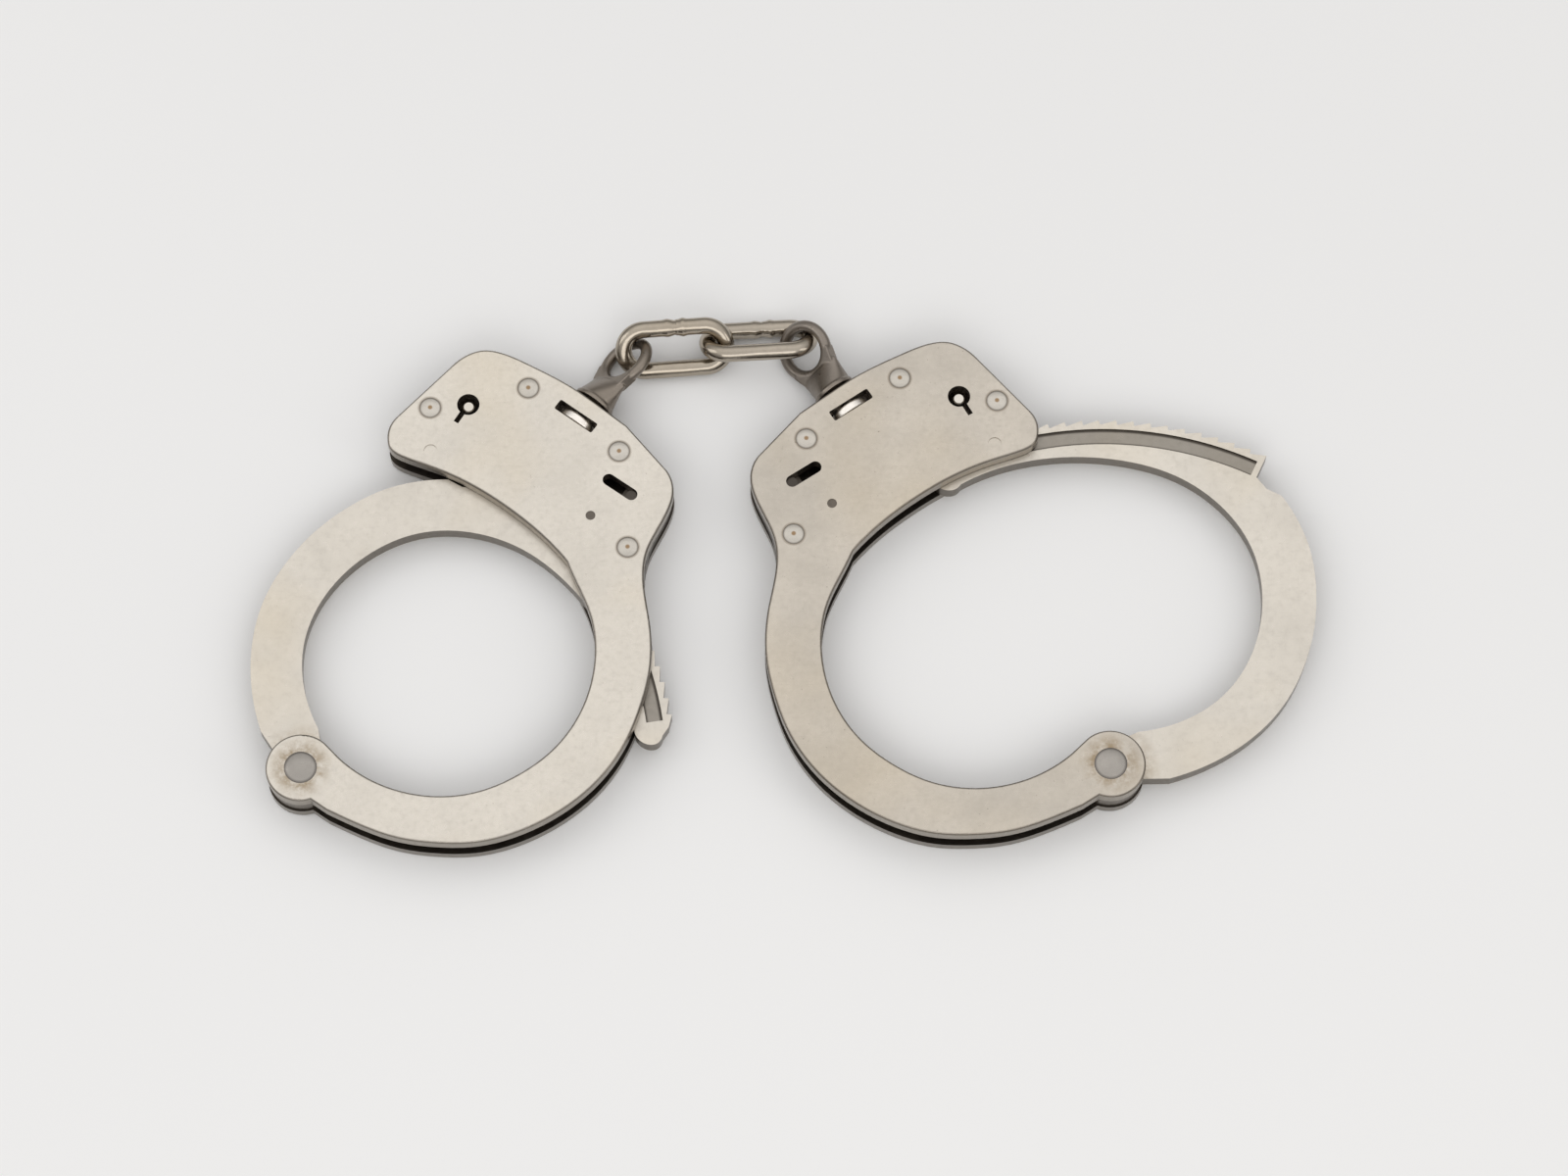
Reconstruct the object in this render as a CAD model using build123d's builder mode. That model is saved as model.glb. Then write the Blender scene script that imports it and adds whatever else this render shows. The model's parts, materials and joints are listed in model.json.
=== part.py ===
from build123d import *
import os
from math import cos, sin, radians, degrees, atan2, hypot

os.makedirs("parts", exist_ok=True)

# ---------------------------------------------------------------- driving dimensions (mm)
# Swing-through handcuffs, both cuffs lying flat side by side and joined by two chain links.
PLATE = 2.6            # cheek plate thickness
GAP = 3.8              # space between the cheeks
ARM = 3.4              # ratchet arm thickness
STACK = 2 * PLATE + GAP
MID = STACK / 2
Z_FRONT = PLATE + GAP  # inner face of the front cheek
Z_ARM = MID - ARM / 2
EDGE = 0.45            # rounding of the outer plate edges

EYE_R = 6.5            # hinge eye of the cheeks
HINGE_R = 2.60         # hinge rivet shank
HINGE_HEAD_R = 3.05
ARM_BORE_R = 2.66      # arm bore on the hinge rivet
ARM_HUB_R = 6.2

RIVET_R = 1.55         # case rivet shank
RIVET_HEAD_R = 2.03
RIVET_RISE = 0.32      # dome height above the front face
HEAD_SINK = 0.6        # depth of the seat under each head

TIP_R = 69.4           # ratchet tooth tips, from the hinge
ROOT_R = 68.45
TEETH = 20
PITCH = 2.7            # degrees between teeth
FIRST_TOOTH = 9.3      # angle of the tooth next to the tip, left arm at rest
ARM_STEP = 54.0        # how much further open the right arm rests: twenty teeth
GROOVE = (64.5, 67.6)  # groove on both faces of the toothed band
GROOVE_DEPTH = 0.35

KEY_R = 2.13
KEY_SLOT_W = 1.0
KEY_SLOT_L = 4.25
POST_R = 1.10
PIN_R = 0.92           # lock bar pin
SLOT_R = 1.17          # double lock slot, half width
STUD_R = 1.05
WIN_L, WIN_W = 8.7, 2.2  # swivel head windows through both cheeks

HEAD_R, HEAD_T = 4.15, 1.8   # swivel head held in the windows
NECK_R = 1.75
SHOULDER_R = 4.15
EYE_OUT = {"left": 15.699, "right": 15.440}   # window centre to swivel eye centre
EYE_MEAN_R = 4.818  # swivel eye ring, mean radius
EYE_TUBE_R = 1.1

WIRE_R = 1.61  # chain link wire
LINK_HALF = 9.8        # centre of link to wire centre at its ends
LINK_BEND = 4.1        # radius of the link ends, to the wire centre

# ---------------------------------------------------------------- placement
# Each cuff is drawn about its hinge, as the left one lies. The right one is its mirror image.
LEFT_HINGE = (-89.491, -38.837)
RIGHT_HINGE = (60.266, -38.076)
RIGHT_TURN = 1.84      # degrees
LOCK_REST = 4.6        # degrees the lock bar rests clear of the ratchet
R1, R2, R3, R4 = (22.38, 71.56), (40.89, 75.59), (58.23, 62.70), (60.02, 43.42)
KEY = (29.58, 72.23)
KEY_END = (27.51, 68.99)
SPOT = (22.64, 62.81)
PIN = (52.99, 49.78)
SLOT_A, SLOT_B = (56.36, 56.98), (60.61, 54.02)
WINDOW = (50.00, 69.87)
SHAFT = (0.5835, 0.8121)     # direction the swivel points out of the case
SWIVEL_TURN = {"left": 42.88, "right": -43.55}   # degrees each eye is turned about its shaft


def pol(r, a):
    return (r * cos(radians(a)), r * sin(radians(a)))


def arc_pts(r, a0, a1):
    return [pol(r, a0), pol(r, (a0 + a1) / 2), pol(r, a1)]


# ---------------------------------------------------------------- cheek outline, about the hinge
CASE_CORNER = [(14.45, 65.0), (14.75, 67.8), (16.2, 69.95)]
CASE_TOP = [(26.3, 80.25), (28.9, 82.35), (32.2, 83.45), (35.3, 83.05), (41.0, 80.55), (48.6, 76.3), (55.9, 70.9), (59.6, 68.0)]
CASE_FOOT = [(67.3, 58.9), (68.35, 56.6), (68.55, 54.4), (67.9, 51.6), (65.5, 46.6), (63.7, 42.6), (63.1, 38.6), (63.4, 34.2),
             (64.2, 29.4), (64.7, 24.0), (64.4, 18.6), (62.9, 12.2), (59.8, 4.3), (55.0, -2.6), (48.4, -8.3), (40.4, -12.5),
             (32.5, -14.55), (25.5, -14.65), (18.0, -13.6), (11.0, -11.1), (5.0, -8.25)]
RING_IN = [(6.1, 3.0), (9.7, -0.2), (14.5, -3.0), (20.6, -4.95), (27.0, -5.45), (33.3, -4.4), (40.4, -1.15), (46.4, 3.5), (51.0, 9.9),
           (53.4, 16.6), (54.1, 22.8), (53.2, 29.7), (50.7, 35.8), (48.7, 40.5)]
CASE_UNDER = [(48.7, 40.5), (44.3, 45.4), (37.9, 50.9), (30.3, 56.0), (22.8, 59.55), (17.6, 61.5), (15.3, 62.9), (14.45, 65.0)]
EYE_A, EYE_B = (2.0, -6.18), (4.30, 4.87)

with BuildSketch() as cheek_outline:
    with BuildLine():
        Spline(*CASE_CORNER)
        Line(CASE_CORNER[-1], CASE_TOP[0])
        Spline(*CASE_TOP)
        Line(CASE_TOP[-1], CASE_FOOT[0])
        Spline(*CASE_FOOT)
        Line(CASE_FOOT[-1], EYE_A)
        ThreePointArc(EYE_A, (-EYE_R, 0.0), EYE_B)
        Line(EYE_B, RING_IN[0])
        Spline(*RING_IN)
        Spline(*CASE_UNDER)
    make_face()

RIVETS = (R1, R2, R3, R4)
WIN_ANGLE = degrees(atan2(-SHAFT[0], SHAFT[1]))
SLOT_ANGLE = degrees(atan2(SLOT_B[1] - SLOT_A[1], SLOT_B[0] - SLOT_A[0]))
SLOT_MID = ((SLOT_A[0] + SLOT_B[0]) / 2, (SLOT_A[1] + SLOT_B[1]) / 2)
SLOT_LEN = hypot(SLOT_B[0] - SLOT_A[0], SLOT_B[1] - SLOT_A[1])
KEY_ANGLE = degrees(atan2(KEY_END[1] - KEY[1], KEY_END[0] - KEY[0]))

# ---------------------------------------------------------------- front cheek
with BuildPart() as front_cheek:
    with BuildSketch(Plane.XY.offset(Z_FRONT)):
        add(cheek_outline.sketch)
    extrude(amount=PLATE)
    outer = front_cheek.faces().sort_by(Axis.Z)[-1].edges()
    fillet(outer, radius=EDGE)
    with BuildSketch(Plane.XY.offset(Z_FRONT)):
        with Locations(*RIVETS):
            Circle(RIVET_R)
        Circle(HINGE_R)
        with Locations(PIN):
            Circle(PIN_R)
        with Locations(KEY):
            Circle(KEY_R)
        with Locations(Location((KEY[0] + KEY_SLOT_L / 2 * cos(radians(KEY_ANGLE)), KEY[1] + KEY_SLOT_L / 2 * sin(radians(KEY_ANGLE)), 0), (0, 0, KEY_ANGLE))):
            Rectangle(KEY_SLOT_L, KEY_SLOT_W)
        with Locations(Location((*SLOT_MID, 0), (0, 0, SLOT_ANGLE))):
            SlotCenterToCenter(SLOT_LEN, 2 * SLOT_R)
        with Locations(Location((*WINDOW, 0), (0, 0, WIN_ANGLE))):
            RectangleRounded(WIN_L, WIN_W, 0.35)
    extrude(amount=PLATE, mode=Mode.SUBTRACT)
    with BuildSketch(Plane.XY.offset(STACK - HEAD_SINK)):
        with Locations(*RIVETS):
            Circle(RIVET_HEAD_R)
        Circle(HINGE_HEAD_R)
    extrude(amount=HEAD_SINK, mode=Mode.SUBTRACT)
    with BuildSketch(Plane.XY.offset(STACK - 0.2)):
        with Locations(SPOT):
            Circle(1.3)
    extrude(amount=0.2, mode=Mode.SUBTRACT)

# ---------------------------------------------------------------- rear cheek
with BuildPart() as rear_cheek:
    with BuildSketch():
        add(cheek_outline.sketch)
    extrude(amount=PLATE)
    outer = rear_cheek.faces().sort_by(Axis.Z)[0].edges()
    fillet(outer, radius=EDGE)
    with BuildSketch():
        with Locations(*RIVETS):
            Circle(RIVET_R)
        Circle(HINGE_R)
        with Locations(PIN):
            Circle(PIN_R)
        with Locations(KEY):
            Circle(POST_R)
        with Locations(Location((*WINDOW, 0), (0, 0, WIN_ANGLE))):
            RectangleRounded(WIN_L, WIN_W, 0.35)
    extrude(amount=PLATE, mode=Mode.SUBTRACT)

# ---------------------------------------------------------------- spacer along the foot of the case
with BuildPart() as case_spacer:
    with BuildSketch(Plane.XY.offset(PLATE)):
        with BuildLine():
            Spline((63.0, 37.0), (63.2, 39.6), (63.9, 43.4), (65.3, 46.7), (67.6, 51.6), (68.2, 54.5), (67.7, 57.0), (66.6, 59.0))
            Polyline((66.6, 59.0), (64.6, 58.0), (64.6, 53.2), (62.0, 48.4), (57.5, 46.4), (57.5, 42.2))
            ThreePointArc((57.5, 42.2), pol(71.2, 34.0), (60.4, 37.0))
            Line((60.4, 37.0), (63.0, 37.0))
        make_face()
        with Locations(R4):
            Circle(RIVET_R, mode=Mode.SUBTRACT)
    extrude(amount=GAP)

# ---------------------------------------------------------------- ratchet arm
BACK = [(63.6, 66.0), (61.2, 70.6), (57.3, 76.7), (53.0, 82.2), (47.9, 88.4), (41.1, 96.3), (34.8, 103.5), (27.8, 111.0), (21.5, 118.0),
        (15.9, 125.5), (11.2, 134.5)]
INNER = [(9.0, 72.0), (13.2, 86.5), (18.5, 91.2), (24.5, 91.0), (31.9, 86.9), (39.2, 80.7), (46.0, 73.6), (51.5, 66.5), (56.4, 57.2),
         (59.6, 47.6), (61.4, 36.5), (62.4, 26.0), (62.8, 16.0), (62.5, 8.6)]
LAST = FIRST_TOOTH + (TEETH - 1) * PITCH
teeth_line = [pol(67.2, 6.1), pol(68.5, 7.4)]
for k in range(TEETH):
    a = FIRST_TOOTH + k * PITCH
    teeth_line.append(pol(TIP_R, a))
    if k < TEETH - 1:
        teeth_line.append(pol(ROOT_R, a + 0.22))
with BuildPart() as arm:
    with BuildSketch(Plane.XY.offset(Z_ARM)):
        with BuildLine():
            Polyline(*teeth_line)
            Polyline(pol(TIP_R, LAST), pol(64.6, LAST + 0.1), pol(63.4, LAST + 2.6), pol(*BACK[0]))
            Spline(*[pol(r, t) for r, t in BACK])
            Line(pol(*BACK[-1]), pol(ARM_HUB_R - 0.6, 146.0))
            Line(pol(ARM_HUB_R - 0.6, 146.0), pol(ARM_HUB_R - 0.6, 50.0))
            Line(pol(ARM_HUB_R - 0.6, 50.0), pol(*INNER[0]))
            Spline(*[pol(r, t) for r, t in INNER])
            Spline(pol(62.5, 8.6), pol(63.6, 5.1), pol(65.4, 4.7), pol(67.2, 6.1))
        make_face()
        Circle(ARM_HUB_R)
        Circle(ARM_BORE_R, mode=Mode.SUBTRACT)
    extrude(amount=ARM)
    for z in (Z_ARM, Z_ARM + ARM - GROOVE_DEPTH):
        with BuildSketch(Plane.XY.offset(z)):
            with BuildLine():
                ThreePointArc(*arc_pts(GROOVE[0], 8.6, LAST - 0.9))
                Line(pol(GROOVE[0], LAST - 0.9), pol(GROOVE[1], LAST - 0.9))
                ThreePointArc(*arc_pts(GROOVE[1], LAST - 0.9, 8.6))
                Line(pol(GROOVE[1], 8.6), pol(GROOVE[0], 8.6))
            make_face()
        extrude(amount=GROOVE_DEPTH, mode=Mode.SUBTRACT)

# ---------------------------------------------------------------- hinge rivet
with BuildPart() as hinge_rivet:
    with BuildSketch(Plane.XZ):
        with BuildLine():
            Polyline((0, 0), (HINGE_R, 0), (HINGE_R, STACK - HEAD_SINK), (HINGE_HEAD_R, STACK - HEAD_SINK), (HINGE_HEAD_R, STACK))
            ThreePointArc((HINGE_HEAD_R, STACK), (1.65, STACK + 0.36), (0.15, STACK + 0.5))
            Polyline((0.15, STACK + 0.5), (0, STACK + 0.5), (0, 0))
        make_face()
    revolve(axis=Axis.Z)

# ---------------------------------------------------------------- four case rivets
with BuildPart() as rivet:
    with BuildSketch(Plane.XZ):
        with BuildLine():
            Polyline((0, 0), (RIVET_R, 0), (RIVET_R, STACK - HEAD_SINK), (RIVET_HEAD_R, STACK - HEAD_SINK), (RIVET_HEAD_R, STACK))
            ThreePointArc((RIVET_HEAD_R, STACK), (1.1, STACK + RIVET_RISE * 0.72), (0.15, STACK + RIVET_RISE))
            Polyline((0.15, STACK + RIVET_RISE), (0, STACK + RIVET_RISE), (0, 0))
        make_face()
    revolve(axis=Axis.Z)
with BuildPart() as case_rivets:
    with Locations(*RIVETS):
        add(rivet.part)

# ---------------------------------------------------------------- lock bar and its pin
# Drawn in mesh with the ratchet, then turned about its pin to where it rests.
VALLEYS = [FIRST_TOOTH + k * PITCH for k in (16, 17, 18)]
bar_line = [pol(70.6, 45.6), pol(69.85, 49.5), pol(69.8, VALLEYS[0] + 0.40)]
for a in VALLEYS:
    bar_line += [pol(68.75, a + 0.44), pol(69.78, a + 2.95)]
bar_line += [pol(69.9, 62.5), pol(70.3, 64.2), pol(72.0, 64.2)]
with BuildPart() as lock_bar_meshed:
    with BuildSketch(Plane.XY.offset(Z_ARM)):
        with BuildLine():
            Polyline(*bar_line)
            ThreePointArc(pol(72.0, 64.2), pol(72.3, 55.0), pol(74.2, 44.4))
            Line(pol(74.2, 44.4), pol(70.6, 45.6))
        make_face()
        with Locations(PIN):
            Circle(2.0)
            Circle(PIN_R + 0.05, mode=Mode.SUBTRACT)
    extrude(amount=ARM)
with BuildPart() as lock_bar:
    add(lock_bar_meshed.part.rotate(Axis((*PIN, 0), (0, 0, 1)), -LOCK_REST))
with BuildPart() as lock_bar_pin:
    with BuildSketch():
        with Locations(PIN):
            Circle(PIN_R)
    extrude(amount=STACK - 0.15)

# ---------------------------------------------------------------- leaf spring behind the lock bar
with BuildPart() as lock_spring:
    with BuildSketch(Plane.XY.offset(MID - 1.4)):
        with BuildLine():
            ThreePointArc(*arc_pts(76.3, 49.0, 62.5))
            Line(pol(76.3, 62.5), pol(76.7, 62.5))
            ThreePointArc(*arc_pts(76.7, 62.5, 49.5))
            Polyline(pol(76.7, 49.5), pol(78.6, 50.3), pol(78.7, 49.9), pol(76.3, 49.0))
        make_face()
    extrude(amount=2.8)

# ---------------------------------------------------------------- double lock slide
with BuildPart() as double_lock_slide:
    with BuildSketch(Plane.XY.offset(Z_ARM)):
        with Locations(Location((*SLOT_B, 0), (0, 0, SLOT_ANGLE))):
            RectangleRounded(4.2, 2.8, 0.5)
    extrude(amount=ARM)
    with BuildSketch(Plane.XY.offset(Z_ARM + ARM)):
        with Locations(SLOT_B):
            Circle(STUD_R)
    extrude(amount=2.0)

# ---------------------------------------------------------------- key post
with BuildPart() as key_post:
    with BuildSketch():
        with Locations(KEY):
            Circle(POST_R)
    extrude(amount=STACK - 1.2)
    chamfer(key_post.faces().sort_by(Axis.Z)[-1].edges(), length=0.2)

# ---------------------------------------------------------------- swivel: head, neck, shoulder and eye
# Drawn along its own shaft: the origin is the head, local Z points out of the case.
EDGE_OUT = 5.0
shaft_plane = Plane(origin=(*WINDOW, MID), x_dir=(SHAFT[1], -SHAFT[0], 0), z_dir=(*SHAFT, 0))
swivels = {}
for side in ("left", "right"):
    out = EYE_OUT[side]
    with BuildPart() as swivel_local:
        with BuildSketch(Plane.XZ):
            with BuildLine():
                Polyline((0, -HEAD_T / 2), (HEAD_R - 0.3, -HEAD_T / 2), (HEAD_R, -HEAD_T / 2 + 0.3), (HEAD_R, HEAD_T / 2 - 0.3),
                         (HEAD_R - 0.3, HEAD_T / 2), (NECK_R, HEAD_T / 2), (NECK_R, EDGE_OUT), (SHOULDER_R, EDGE_OUT),
                         (SHOULDER_R, EDGE_OUT + 0.8), (SHOULDER_R - 0.25, EDGE_OUT + 1.0), (0, EDGE_OUT + 1.0), (0, -HEAD_T / 2))
            make_face()
        revolve(axis=Axis.Z)
        with BuildSketch(Plane.XZ.offset(-EYE_TUBE_R)):
            with BuildLine():
                Polyline((-4.1, out - 5.6), (4.1, out - 5.6), (5.1, out - 2.6), (-5.1, out - 2.6), (-4.1, out - 5.6))
            make_face()
            with Locations((0, out)):
                Circle(EYE_MEAN_R, mode=Mode.SUBTRACT)
        extrude(amount=2 * EYE_TUBE_R)
        with BuildSketch(Plane.XY.offset(EDGE_OUT + 1.0)):
            Circle(SHOULDER_R - 0.25)
        with BuildSketch(Plane.XY.offset(out - EYE_MEAN_R - 0.1)):
            Ellipse(4.7, EYE_TUBE_R + 0.25)
        loft()
        with BuildSketch(Plane.XY.offset(out)):
            with Locations((EYE_MEAN_R, 0)):
                Circle(EYE_TUBE_R)
        revolve(axis=Axis((0, 0, out), (0, 1, 0)))
    with BuildPart() as swivel:
        add(swivel_local.part.rotate(Axis.Z, -SWIVEL_TURN[side]).moved(shaft_plane.location))
    swivels[side] = swivel.part

# ---------------------------------------------------------------- chain links
LINKS = {                  # centre in plan, tilt about its length, turn in plan
    "left": ((-20.969, 46.788), 38.89, 4.34),
    "right": ((-4.987, 48.315), -36.08, 3.55),
}
for side, (centre, tilt, yaw) in LINKS.items():
    along = Vector(cos(radians(yaw)), sin(radians(yaw)), 0)
    across = Vector(-sin(radians(yaw)) * cos(radians(tilt)), cos(radians(yaw)) * cos(radians(tilt)), sin(radians(tilt)))
    link_plane = Plane(origin=(*centre, MID), x_dir=along, z_dir=along.cross(across))
    half = LINK_HALF - LINK_BEND
    with BuildPart() as chain_link:
        with BuildLine(link_plane) as link_line:
            Line((-half, LINK_BEND), (half, LINK_BEND))
            ThreePointArc((half, LINK_BEND), (LINK_HALF, 0), (half, -LINK_BEND))
            Line((half, -LINK_BEND), (-half, -LINK_BEND))
            ThreePointArc((-half, -LINK_BEND), (-LINK_HALF, 0), (-half, LINK_BEND))
        with BuildSketch(Plane(origin=link_line.line @ 0, z_dir=link_line.line % 0)):
            Circle(WIRE_R)
        sweep(path=link_line.line)
    chain_link.part.label = "chain_link_" + side
    export_step(chain_link.part, "parts/chain_link_" + side + ".step")

# ---------------------------------------------------------------- lay out both cuffs
pieces = {
    "front_cheek": front_cheek.part,
    "rear_cheek": rear_cheek.part,
    "case_spacer": case_spacer.part,
    "arm": arm.part,
    "hinge_rivet": hinge_rivet.part,
    "case_rivets": case_rivets.part,
    "lock_bar": lock_bar.part,
    "lock_bar_pin": lock_bar_pin.part,
    "lock_spring": lock_spring.part,
    "double_lock_slide": double_lock_slide.part,
    "key_post": key_post.part,
}


def to_left(shape):
    return shape.moved(Location((*LEFT_HINGE, 0)))


def to_right(shape):
    turned = shape.rotate(Axis.Z, RIGHT_TURN)
    return mirror(turned, about=Plane.YZ, mode=Mode.PRIVATE).moved(Location((*RIGHT_HINGE, 0)))


for name in list(pieces) + ["swivel"]:
    piece = swivels["left"] if name == "swivel" else pieces[name]
    with BuildPart() as left_piece:
        add(to_left(piece))
    left_piece.part.label = "left_" + name
    export_step(left_piece.part, "parts/left_" + name + ".step")
    if name == "arm":
        piece = piece.rotate(Axis.Z, ARM_STEP)
    if name == "swivel":
        piece = swivels["right"]
    with BuildPart() as right_piece:
        add(to_right(piece))
    right_piece.part.label = "right_" + name
    export_step(right_piece.part, "parts/right_" + name + ".step")
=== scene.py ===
import bpy, math, json
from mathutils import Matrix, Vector


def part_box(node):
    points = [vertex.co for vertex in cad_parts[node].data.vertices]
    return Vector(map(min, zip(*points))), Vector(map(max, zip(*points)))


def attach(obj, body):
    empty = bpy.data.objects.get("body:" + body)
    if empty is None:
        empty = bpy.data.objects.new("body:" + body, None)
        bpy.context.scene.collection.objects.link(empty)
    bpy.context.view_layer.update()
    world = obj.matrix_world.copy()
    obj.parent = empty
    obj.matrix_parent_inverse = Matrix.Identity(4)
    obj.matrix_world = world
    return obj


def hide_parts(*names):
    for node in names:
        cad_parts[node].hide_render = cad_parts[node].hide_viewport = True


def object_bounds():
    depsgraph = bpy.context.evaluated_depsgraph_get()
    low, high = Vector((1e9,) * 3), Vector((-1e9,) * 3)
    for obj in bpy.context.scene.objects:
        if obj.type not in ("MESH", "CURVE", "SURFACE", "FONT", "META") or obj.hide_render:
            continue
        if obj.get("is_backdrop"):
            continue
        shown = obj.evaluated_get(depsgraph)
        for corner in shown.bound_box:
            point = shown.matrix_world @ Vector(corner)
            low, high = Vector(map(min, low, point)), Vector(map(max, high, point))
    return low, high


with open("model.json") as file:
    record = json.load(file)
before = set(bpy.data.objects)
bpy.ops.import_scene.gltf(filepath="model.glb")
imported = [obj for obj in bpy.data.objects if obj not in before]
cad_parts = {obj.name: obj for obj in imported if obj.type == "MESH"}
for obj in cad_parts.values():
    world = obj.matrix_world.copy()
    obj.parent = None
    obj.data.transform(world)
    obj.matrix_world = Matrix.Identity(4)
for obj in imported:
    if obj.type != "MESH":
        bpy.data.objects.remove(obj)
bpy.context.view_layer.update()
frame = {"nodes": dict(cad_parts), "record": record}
MM = 0.001

# ------------------------------------------------------------------ places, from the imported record
joints = {j["name"]: j for j in frame["record"]["behaviour"]["joints"]}
hinge = {s: joints[s + "_arm_hinge"]["pos_m"] for s in ("left", "right")}


# ------------------------------------------------------------------ camera and light
TILT = math.radians(20.0)
DIST = 1.0175
target = Vector((-0.000135, -0.000300, 0.0))
cam_data = bpy.data.cameras.new("camera")
cam_data.lens = 123.75
cam_data.sensor_width = 36.0
cam_data.clip_start = 0.01
cam = bpy.data.objects.new("camera", cam_data)
bpy.context.scene.collection.objects.link(cam)
cam.location = target + Vector((0, -math.sin(TILT), math.cos(TILT))) * DIST
cam.rotation_euler = (TILT, 0, 0)
bpy.context.scene.camera = cam
bpy.context.scene.view_settings.view_transform = "Standard"


def area(name, loc, size, energy, color=(1, 1, 1), at=(0, 0, 0)):
    d = bpy.data.lights.new(name, "AREA")
    d.shape = "RECTANGLE"
    d.size, d.size_y = size
    d.energy = energy
    d.color = color
    o = bpy.data.objects.new(name, d)
    bpy.context.scene.collection.objects.link(o)
    o.location = loc
    o.rotation_euler = (Vector(at) - Vector(loc)).to_track_quat("-Z", "Y").to_euler()
    return o


area("softbox_top", (0.0, 0.34, 0.80), (0.95, 0.60), 0.22, (1.0, 0.99, 0.97))
area("softbox_left", (-0.85, 0.05, 0.50), (0.5, 0.6), 0.9)
area("strip_right", (0.75, -0.30, 0.38), (0.30, 0.6), 0.6, (1.0, 0.98, 0.95))
area("softbox_front", (0.0, -0.80, 0.75), (1.1, 0.5), 1.9)

world = bpy.data.worlds.new("studio")
bpy.context.scene.world = world
world.use_nodes = True
wn, wl = world.node_tree.nodes, world.node_tree.links
wn.clear()
out = wn.new("ShaderNodeOutputWorld")
bg = wn.new("ShaderNodeBackground")
bg.inputs["Strength"].default_value = 0.96
tc = wn.new("ShaderNodeTexCoord")
sep = wn.new("ShaderNodeSeparateXYZ")
ramp = wn.new("ShaderNodeValToRGB")
ramp.color_ramp.elements[0].position = 0.0
ramp.color_ramp.elements[0].color = (0.20, 0.195, 0.19, 1)
low = ramp.color_ramp.elements.new(0.42)
low.color = (0.52, 0.512, 0.50, 1)
ramp.color_ramp.elements[-1].position = 0.80
ramp.color_ramp.elements[-1].color = (1.0, 0.99, 0.98, 1)
wl.new(tc.outputs["Generated"], sep.inputs[0])
wl.new(sep.outputs["Z"], ramp.inputs[0])
wl.new(ramp.outputs[0], bg.inputs["Color"])
wl.new(bg.outputs[0], out.inputs[0])


# ------------------------------------------------------------------ node helpers
class Mat:
    def __init__(self, name):
        self.m = bpy.data.materials.new(name)
        self.m.use_nodes = True
        self.n, self.l = self.m.node_tree.nodes, self.m.node_tree.links
        self.bsdf = next(n for n in self.n if n.type == "BSDF_PRINCIPLED")
        self.co = self.n.new("ShaderNodeTexCoord").outputs["Object"]

    def link(self, a, b):
        self.l.new(a, b)

    def scaled(self, sc, rot=0.0):
        n = self.n.new("ShaderNodeMapping")
        n.inputs["Scale"].default_value = sc
        n.inputs["Rotation"].default_value = (0, 0, rot)
        self.link(self.co, n.inputs["Vector"])
        return n.outputs[0]

    def noise(self, scale, detail=3.0, rough=0.55, vec=None):
        n = self.n.new("ShaderNodeTexNoise")
        n.inputs["Scale"].default_value = scale
        n.inputs["Detail"].default_value = detail
        n.inputs["Roughness"].default_value = rough
        self.link(vec or self.co, n.inputs["Vector"])
        return n.outputs["Fac"]

    def rng(self, v, a, b, c, d):
        n = self.n.new("ShaderNodeMapRange")
        for k, x in zip(("From Min", "From Max", "To Min", "To Max"), (a, b, c, d)):
            n.inputs[k].default_value = x
        self.link(v, n.inputs["Value"])
        return n.outputs[0]

    def math(self, op, a, b):
        n = self.n.new("ShaderNodeMath")
        n.operation = op
        for i, x in enumerate((a, b)):
            if isinstance(x, (int, float)):
                n.inputs[i].default_value = x
            else:
                self.link(x, n.inputs[i])
        return n.outputs[0]

    def mix(self, f, a, b):
        n = self.n.new("ShaderNodeMix")
        n.data_type = "RGBA"
        if isinstance(f, float):
            n.inputs[0].default_value = f
        else:
            self.link(f, n.inputs[0])
        for i, x in ((6, a), (7, b)):
            if isinstance(x, tuple):
                n.inputs[i].default_value = (*x, 1)
            else:
                self.link(x, n.inputs[i])
        return n.outputs[2]

    def near(self, p, r0, r1):
        n = self.n.new("ShaderNodeVectorMath")
        n.operation = "DISTANCE"
        self.link(self.co, n.inputs[0])
        n.inputs[1].default_value = p
        return self.rng(n.outputs["Value"], r0, r1, 1.0, 0.0)

    def up(self):
        g = self.n.new("ShaderNodeTexCoord")
        s = self.n.new("ShaderNodeSeparateXYZ")
        self.link(g.outputs["Normal"], s.inputs[0])
        return self.math("ABSOLUTE", s.outputs["Z"], 0.0)

    def bump(self, h, strength, dist):
        b = self.n.new("ShaderNodeBump")
        b.inputs["Strength"].default_value = strength
        b.inputs["Distance"].default_value = dist
        self.link(h, b.inputs["Height"])
        self.link(b.outputs[0], self.bsdf.inputs["Normal"])


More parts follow.
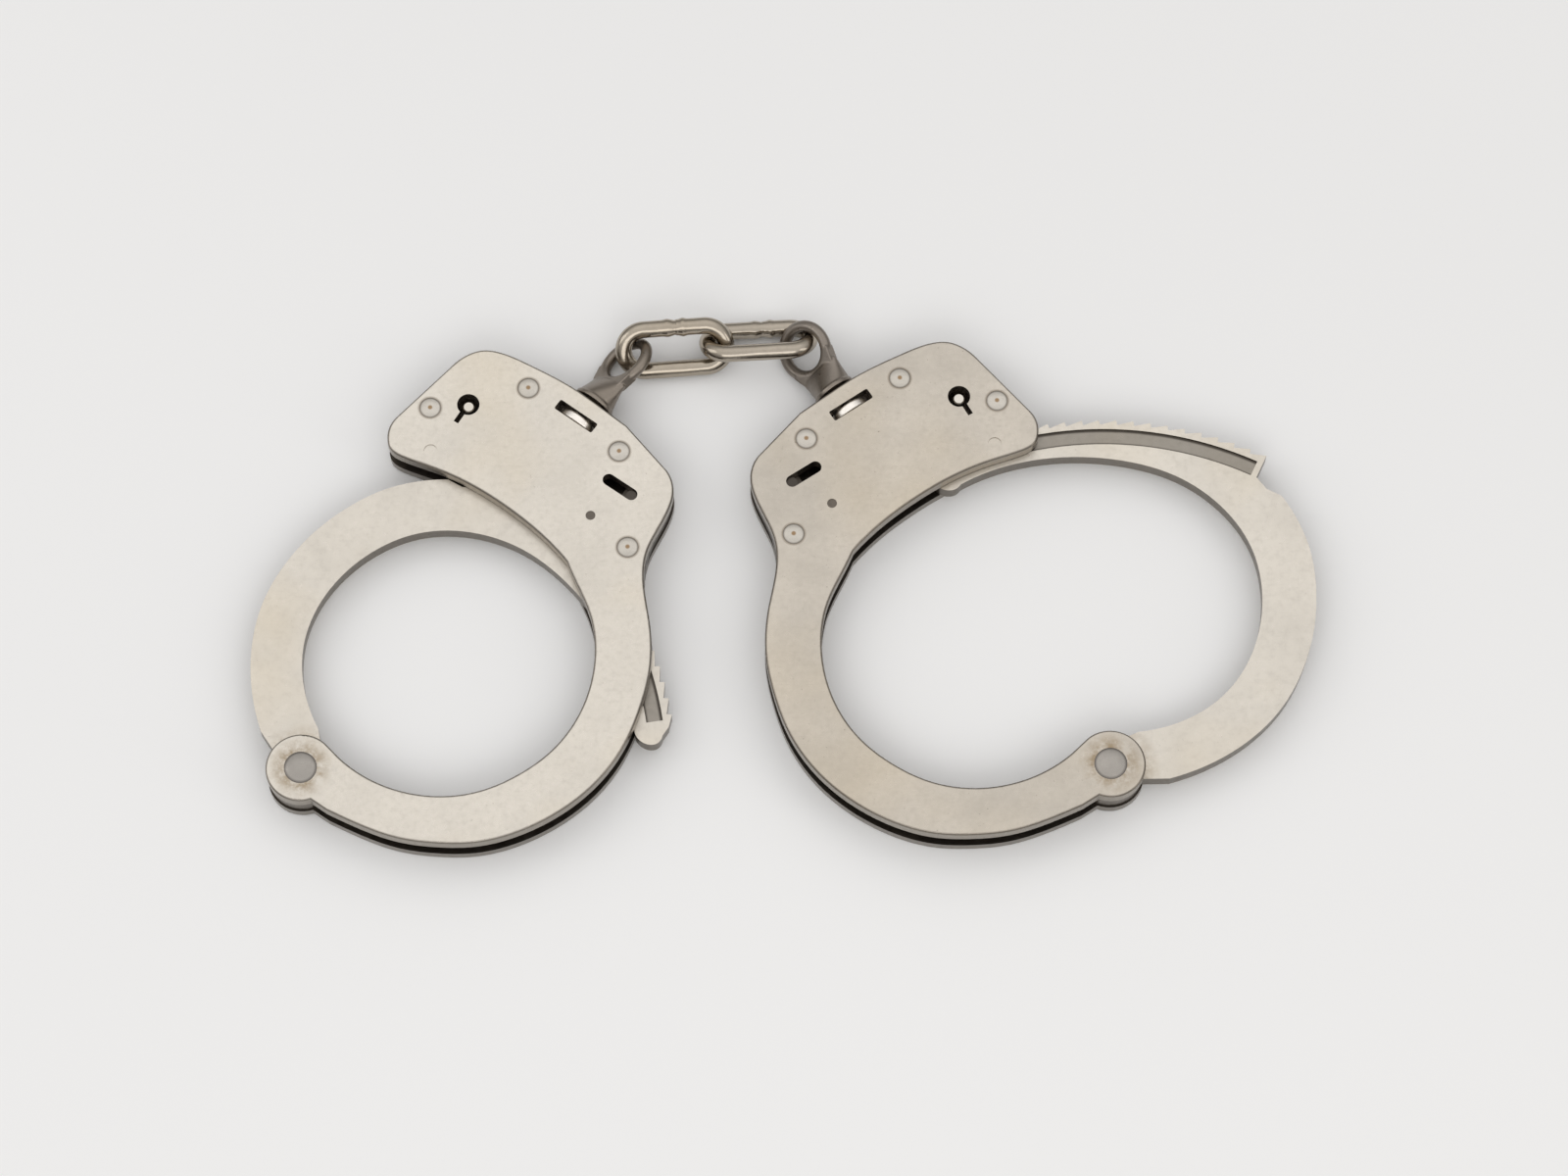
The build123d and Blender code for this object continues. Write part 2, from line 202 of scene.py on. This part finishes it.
def metal(name, face, painted_wall_shade=None, rough=(0.28, 0.42), tarnish=(), spots=0.5, brushed=0.0, scratch=1.0, cloud=0.5):
    """Worn nickel or steel: broad clouding, fine mottling, pits, scratches, and brown tarnish round given points; given
    a wall colour, it also paints shade on steep walls and painted shade lines on rounded edges.
    """
    m = Mat(name)
    big = m.noise(70, 4, 0.6)
    fine = m.noise(900, 4, 0.65)
    grain = m.noise(4200, 2, 0.5)
    dark = tuple(c * 0.80 for c in face)
    col = m.mix(m.rng(big, 0.35, 0.68, 0.0, cloud), face, dark)
    col = m.mix(m.rng(fine, 0.50, 0.70, 0.0, 0.42), col, tuple(c * 0.83 for c in face))
    warm = m.noise(38, 2, 0.5, m.scaled((1.0, 1.0, 1.0), 0.7))
    col = m.mix(m.rng(warm, 0.50, 0.72, 0.0, 0.30), col, (face[0] * 0.98, face[1] * 0.90, face[2] * 0.74))
    pits = m.rng(m.noise(1700, 5, 0.7), 0.66, 0.74, 0.0, spots)
    col = m.mix(pits, col, (0.20, 0.17, 0.14))
    for p, r in tarnish:
        f = m.math("MULTIPLY", m.near(p, r * 0.55, r), m.rng(m.noise(420, 4, 0.7), 0.36, 0.62, 0.0, 0.75))
        col = m.mix(f, col, (0.27, 0.19, 0.10))
    if painted_wall_shade:
        # painted shade: faces turning over into rounded edges are darkened nearly to black
        col = m.mix(m.rng(m.up(), 0.90, 0.985, 0.72, 0.0), col, (0.10, 0.082, 0.066))
        # painted shade: steep walls take the darker wall colour in place of the face colour
        col = m.mix(m.rng(m.up(), 0.10, 0.40, 1.0, 0.0), col, painted_wall_shade)
    m.link(col, m.bsdf.inputs["Base Color"])
    s1 = m.rng(m.noise(1.0, 1, 0.4, m.scaled((260, 9000, 260), 0.5)), 0.68, 0.74, 0.0, 1.0)
    s2 = m.rng(m.noise(1.0, 1, 0.4, m.scaled((8000, 240, 300), -0.25)), 0.69, 0.75, 0.0, 1.0)
    marks = m.math("MULTIPLY", m.math("ADD", s1, s2), 0.5 * scratch)
    r = m.math("ADD", m.rng(fine, 0.3, 0.7, rough[0], rough[1]), m.math("MULTIPLY", marks, 0.12))
    m.link(m.math("ADD", r, m.math("MULTIPLY", pits, 0.3)), m.bsdf.inputs["Roughness"])
    h = m.math("SUBTRACT", m.math("MULTIPLY", grain, 0.25), m.math("ADD", m.math("MULTIPLY", marks, 0.6), m.math("MULTIPLY", pits, 0.8)))
    h = m.math("ADD", h, m.math("MULTIPLY", fine, 0.5))
    if brushed:
        br = m.noise(1.0, 2, 0.6, m.scaled((900, 12000, 900), 0.9))
        h = m.math("ADD", h, m.math("MULTIPLY", br, brushed))
    m.bump(h, 0.35, 0.00005)
    m.bsdf.inputs["Metallic"].default_value = 1.0
    return m.m


def painted_depth_shade(m, z0, z1, amount):
    """Paint shade on m: darken it between two heights, where the cheeks close over it."""
    nt = m.node_tree
    b = next(n for n in nt.nodes if n.type == "BSDF_PRINCIPLED")
    src = b.inputs["Base Color"].links[0].from_socket
    co = nt.nodes.new("ShaderNodeTexCoord")
    sx = nt.nodes.new("ShaderNodeSeparateXYZ")
    nt.links.new(co.outputs["Object"], sx.inputs[0])
    lo = nt.nodes.new("ShaderNodeMapRange")
    for k, v in (("From Min", z0), ("From Max", z1), ("To Min", 0.0), ("To Max", amount)):
        lo.inputs[k].default_value = v
    nt.links.new(sx.outputs["Z"], lo.inputs["Value"])
    mx = nt.nodes.new("ShaderNodeMix")
    mx.data_type = "RGBA"
    nt.links.new(lo.outputs[0], mx.inputs[0])
    nt.links.new(src, mx.inputs[6])
    # near-black painted shade colour
    mx.inputs[7].default_value = (0.030, 0.022, 0.016, 1)
    nt.links.new(mx.outputs[2], b.inputs["Base Color"])


def tint(m, mask, col):
    """Mix col over m's colour wherever mask(nodes, links) says."""
    nt = m.node_tree
    b = next(n for n in nt.nodes if n.type == "BSDF_PRINCIPLED")
    src = b.inputs["Base Color"].links[0].from_socket
    mx = nt.nodes.new("ShaderNodeMix")
    mx.data_type = "RGBA"
    nt.links.new(mask(nt.nodes, nt.links), mx.inputs[0])
    nt.links.new(src, mx.inputs[6])
    mx.inputs[7].default_value = (*col, 1)
    nt.links.new(mx.outputs[2], b.inputs["Base Color"])


def ring_mask(centres, r0, r1, a, b):
    """1 near any of the centres in plan: ramps from a at r0 to b at r1."""
    def build(n, l):
        co = n.new("ShaderNodeTexCoord").outputs["Object"]
        flat = n.new("ShaderNodeVectorMath")
        flat.operation = "MULTIPLY"
        l.new(co, flat.inputs[0])
        flat.inputs[1].default_value = (1, 1, 0)
        best = None
        for c in centres:
            d = n.new("ShaderNodeVectorMath")
            d.operation = "DISTANCE"
            l.new(flat.outputs[0], d.inputs[0])
            d.inputs[1].default_value = (c[0], c[1], 0)
            if best is None:
                best = d.outputs["Value"]
            else:
                k = n.new("ShaderNodeMath")
                k.operation = "MINIMUM"
                l.new(best, k.inputs[0])
                l.new(d.outputs["Value"], k.inputs[1])
                best = k.outputs[0]
        g = n.new("ShaderNodeMapRange")
        for k, v in (("From Min", r0), ("From Max", r1), ("To Min", a), ("To Max", b)):
            g.inputs[k].default_value = v
        l.new(best, g.inputs["Value"])
        return g.outputs[0]
    return build


def track_shade_lines(c):
    """Two painted shade lines that run along the sides of the arm's sunk track, in its creases."""
    def build(n, l):
        ins = ring_mask([c], 0.06462, 0.06500, 0.85, 0.0)(n, l)
        outs = ring_mask([c], 0.06690, 0.06725, 0.0, 0.85)(n, l)
        low = sunk_mask(0.0045, 0.00150, 0.00010, 1.0)(n, l)
        s = n.new("ShaderNodeMath")
        s.operation = "MAXIMUM"
        l.new(ins, s.inputs[0])
        l.new(outs, s.inputs[1])
        up = n.new("ShaderNodeSeparateXYZ")
        l.new(n.new("ShaderNodeTexCoord").outputs["Normal"], up.inputs[0])
        a = n.new("ShaderNodeMath")
        a.operation = "ABSOLUTE"
        l.new(up.outputs["Z"], a.inputs[0])
        p = n.new("ShaderNodeMath")
        p.operation = "MULTIPLY"
        l.new(s.outputs[0], p.inputs[0])
        l.new(a.outputs[0], p.inputs[1])
        q = n.new("ShaderNodeMath")
        q.operation = "MULTIPLY"
        l.new(p.outputs[0], q.inputs[0])
        l.new(low, q.inputs[1])
        return q.outputs[0]
    return build


def sunk_mask(mid, half, soft, amount):
    """Heights closer to mid than half: the sunk track of an arm and its walls."""
    def build(n, l):
        co = n.new("ShaderNodeTexCoord").outputs["Object"]
        z = n.new("ShaderNodeSeparateXYZ")
        l.new(co, z.inputs[0])
        s = n.new("ShaderNodeMath")
        s.operation = "SUBTRACT"
        l.new(z.outputs["Z"], s.inputs[0])
        s.inputs[1].default_value = mid
        q = n.new("ShaderNodeMath")
        q.operation = "ABSOLUTE"
        l.new(s.outputs[0], q.inputs[0])
        g = n.new("ShaderNodeMapRange")
        for k, v in (("From Min", half - soft), ("From Max", half), ("To Min", amount), ("To Max", 0.0)):
            g.inputs[k].default_value = v
        l.new(q.outputs[0], g.inputs["Value"])
        return g.outputs[0]
    return build


def box_mid(node):
    a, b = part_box(node)
    return tuple((x + y) / 2 for x, y in zip(a, b))


FACE = (0.705, 0.66, 0.59)
FACE_R = (0.60, 0.55, 0.48)
# painted shade colour for the steep walls of cheeks and arms
PAINTED_WALL_SHADE = (0.36, 0.325, 0.28)
mats = {}
for s in ("left", "right"):
    h = (hinge[s][0], hinge[s][1], 0.009)
    mats[s + "_front_cheek"] = metal(s + "_cheek_nickel", FACE if s == "left" else FACE_R, PAINTED_WALL_SHADE, (0.24, 0.38), [(h, 0.0062)], 0.55 if s == "left" else 0.85, 0.0, 1.0, 0.45 if s == "left" else 0.8)
    mats[s + "_rear_cheek"] = metal(s + "_rear_nickel", (0.72, 0.67, 0.60), (0.29, 0.265, 0.235), (0.28, 0.42), [((h[0], h[1], 0), 0.0075)], 0.5)
    mats[s + "_arm"] = metal(s + "_arm_nickel", (0.70, 0.655, 0.585), PAINTED_WALL_SHADE, (0.26, 0.40), [(h, 0.010)], 0.45, 0.3)
inner = metal("inner_steel", (0.30, 0.28, 0.26), None, (0.35, 0.5), (), 0.4)
# painted shade: the double-lock slide is coloured near black so its slot reads as deep shade
slide = metal("slide_painted_shade", (0.085, 0.075, 0.065), None, (0.28, 0.45), (), 0.4)
# painted shade: the lock-bar pin is coloured dark to stand for the shade in its hole
pin = metal("pin_painted_shade", (0.16, 0.14, 0.12), None, (0.30, 0.45), (), 0.5)
spring = metal("spring_steel", (0.22, 0.22, 0.24), None, (0.25, 0.4), (), 0.3)
dome = metal("hinge_dome_steel", (0.40, 0.375, 0.345), None, (0.24, 0.36), (), 0.5)
swv = {s: metal(s + "_swivel_brushed", (0.27, 0.237, 0.205), None, (0.26, 0.38), (), 0.3, 1.4) for s in ("left", "right")}
linkm = metal("link_nickel", (0.44, 0.39, 0.325), None, (0.10, 0.19), (), 0.35, 0.25, 0.8)
riv = metal("rivet_nickel", (0.60, 0.565, 0.51), None, (0.14, 0.26), (), 0.5)
post = metal("post_nickel", (0.74, 0.70, 0.64), None, (0.16, 0.30), (), 0.4)
spacer = metal("spacer_nickel", (0.42, 0.38, 0.33), (0.30, 0.27, 0.23), (0.30, 0.45), (), 0.5, 0.6)
for s in ("left", "right"):
    for n, m in (("hinge_rivet", dome), ("case_rivets", riv), ("lock_bar", inner), ("lock_bar_pin", pin), ("lock_spring", spring), ("double_lock_slide", slide), ("key_post", post), ("swivel", swv[s]), ("case_spacer", spacer)):
        mats[s + "_" + n] = m
    mats["chain_link_" + s] = linkm
WINDOW_AT = {"left": (-0.03949, 0.03103), "right": (0.01254, 0.03336)}
CASE_RIVETS = [(-0.02947, 0.00458), (-0.03126, 0.02386), (-0.0486, 0.03675), (-0.06711, 0.03272), (0.00167, 0.00725), (0.00408, 0.02646), (0.02182, 0.03879), (0.0402, 0.03417)]
# painted shade: dark ring round the rim of each rivet head
tint(riv, ring_mask(CASE_RIVETS, 0.00165, 0.00203, 0.0, 0.85), (0.07, 0.05, 0.035))
tint(riv, ring_mask(CASE_RIVETS, 0.00030, 0.00052, 0.85, 0.0), (0.26, 0.15, 0.06))
HINGES = [(h[0], h[1]) for h in hinge.values()]
# painted shade: dark ring round the rim of each hinge dome
tint(dome, ring_mask(HINGES, 0.0025, 0.00305, 0.0, 0.85), (0.06, 0.05, 0.045))
for s in ("left", "right"):
    c = mats[s + "_front_cheek"]
    # painted shade: dark ring on the cheek face where it meets each rivet head
    tint(c, ring_mask([p for p in CASE_RIVETS if (p[0] < -0.02) == (s == "left")], 0.00203, 0.00245, 0.7, 0.0), (0.16, 0.12, 0.08))
    # painted shade: the arm's sunk track between the cheeks is darkened
    tint(mats[s + "_arm"], sunk_mask(0.0045, 0.00165, 0.00015, 0.62), (0.10, 0.085, 0.07))
    # painted shade: dark lines in the creases along the arm's sunk track
    tint(mats[s + "_arm"], track_shade_lines(HINGES[0 if s == "left" else 1]), (0.035, 0.028, 0.022))
    # painted highlight: the swivel head seen through the case window is coloured near white
    tint(swv[s], ring_mask([WINDOW_AT[s]], 0.0026, 0.0036, 1.0, 0.0), (0.96, 0.91, 0.85))
# painted shade: rear cheeks and case spacers are darkened where they lie in the gap between the cheeks
for s in ("left", "right"):
    painted_depth_shade(mats[s + "_rear_cheek"], 0.00235, 0.0026, 0.93)
    painted_depth_shade(mats[s + "_case_spacer"], -0.001, 0.0, 0.55)
for name, o in frame["nodes"].items():
    o.data.materials.clear()
    o.data.materials.append(mats[name])

# ------------------------------------------------------------------ detailed pieces that stand for plain CAD ones
def smoothed(node, voxel, steps, mat, body):
    """A copy of a CAD piece with its joins flowed together, as on a forging."""
    src = frame["nodes"][node]
    o = bpy.data.objects.new(node + "_forged", src.data.copy())
    bpy.context.scene.collection.objects.link(o)
    r = o.modifiers.new("remesh", "REMESH")
    r.mode = "VOXEL"
    r.voxel_size = voxel
    f = o.modifiers.new("flow", "SMOOTH")
    f.factor, f.iterations = 0.5, steps
    bpy.context.view_layer.update()
    mesh = bpy.data.meshes.new_from_object(o.evaluated_get(bpy.context.evaluated_depsgraph_get()))
    o.modifiers.clear()
    o.data = mesh
    mesh.materials.clear()
    mesh.materials.append(mat)
    for p in mesh.polygons:
        p.use_smooth = True
    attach(o, body)
    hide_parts(node)
    return o


for s in ("left", "right"):
    smoothed(s + "_swivel", 0.00013, 14, swv[s], s + "_swivel")


def link_piece(name, node, body, plane, weld):
    """A bent wire link with a resistance weld in the middle of one long side: two upset rings with a dip between them."""
    (cx, cy), tilt, yaw = plane
    tilt, yaw = math.radians(tilt), math.radians(yaw)
    u = Vector((math.cos(yaw), math.sin(yaw), 0))
    w = Vector((-math.sin(yaw) * math.cos(tilt), math.cos(yaw) * math.cos(tilt), math.sin(tilt)))
    nrm = u.cross(w)
    c = Vector((cx, cy, 4.5))
    half, R, r0 = LINK_HALF - LINK_BEND, LINK_BEND, WIRE_R
    per = 4 * half + 2 * math.pi * R
    N, M = 300, 40
    verts, faces = [], []
    for i in range(N):
        d = per * i / N
        if d < 2 * half:
            p, t = (-half + d, R), (1, 0)
        elif d < 2 * half + math.pi * R:
            a = math.pi / 2 - (d - 2 * half) / R
            p, t = (half + R * math.cos(a), R * math.sin(a)), (math.sin(a), -math.cos(a))
        elif d < 4 * half + math.pi * R:
            p, t = (half - (d - 2 * half - math.pi * R), -R), (-1, 0)
        else:
            a = -math.pi / 2 - (d - 4 * half - math.pi * R) / R
            p, t = (-half + R * math.cos(a), R * math.sin(a)), (math.sin(a), -math.cos(a))
        q = d - half - weld
        ring = 0.17 * math.exp(-((q - 1.5) / 0.55) ** 2) + 0.13 * math.exp(-((q + 1.5) / 0.6) ** 2) - 0.16 * math.exp(-(q / 0.5) ** 2)
        seam = 0.10 * math.exp(-((q - 0.25) / 0.16) ** 2)
        out_dir = Vector((-t[1], t[0]))
        for k in range(M):
            b = 2 * math.pi * k / M
            lump = 1 + 0.35 * math.sin(2 * b + 1.1)
            r = r0 + (ring + seam) * lump + 0.012 * math.sin(3 * b + 0.6 * d)
            o2 = Vector(p) + out_dir * (r * math.cos(b))
            v = c + u * o2.x + w * o2.y + nrm * (r * math.sin(b))
            verts.append(v * MM)
    for i in range(N):
        for k in range(M):
            a0, a1 = i * M + k, i * M + (k + 1) % M
            b0, b1 = ((i + 1) % N) * M + k, ((i + 1) % N) * M + (k + 1) % M
            faces.append((a0, a1, b1, b0))
    me = bpy.data.meshes.new(name)
    me.from_pydata([tuple(v) for v in verts], [], faces)
    me.validate()
    me.update()
    import bmesh
    bm = bmesh.new()
    bm.from_mesh(me)
    bmesh.ops.recalc_face_normals(bm, faces=bm.faces)
    bm.to_mesh(me)
    bm.free()
    for p in me.polygons:
        p.use_smooth = True
    me.materials.append(linkm)
    o = bpy.data.objects.new(name, me)
    bpy.context.scene.collection.objects.link(o)
    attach(o, body)
    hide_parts(node)


LINK_HALF, LINK_BEND, WIRE_R = 9.8, 4.1, 1.61
link_piece("link_left_welded", "chain_link_left", "link_a", ((-20.969, 46.788), 38.89, 4.34), 0.3)
link_piece("link_right_welded", "chain_link_right", "link_b", ((-4.987, 48.315), -36.08, 3.55), 0.9)

# ------------------------------------------------------------------ floor
bpy.ops.mesh.primitive_plane_add(size=6.0, location=(0, 0, -0.00005))
floor = bpy.context.object
floor.name = "floor"
fm = Mat("floor_pale")
fm.link(fm.mix(fm.rng(fm.noise(3, 2), 0.3, 0.7, 0.0, 1.0), (0.86, 0.86, 0.86), (0.875, 0.875, 0.875)), fm.bsdf.inputs["Base Color"])
fm.bsdf.inputs["Roughness"].default_value = 0.9
floor.data.materials.append(fm.m)
floor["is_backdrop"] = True

c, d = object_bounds()
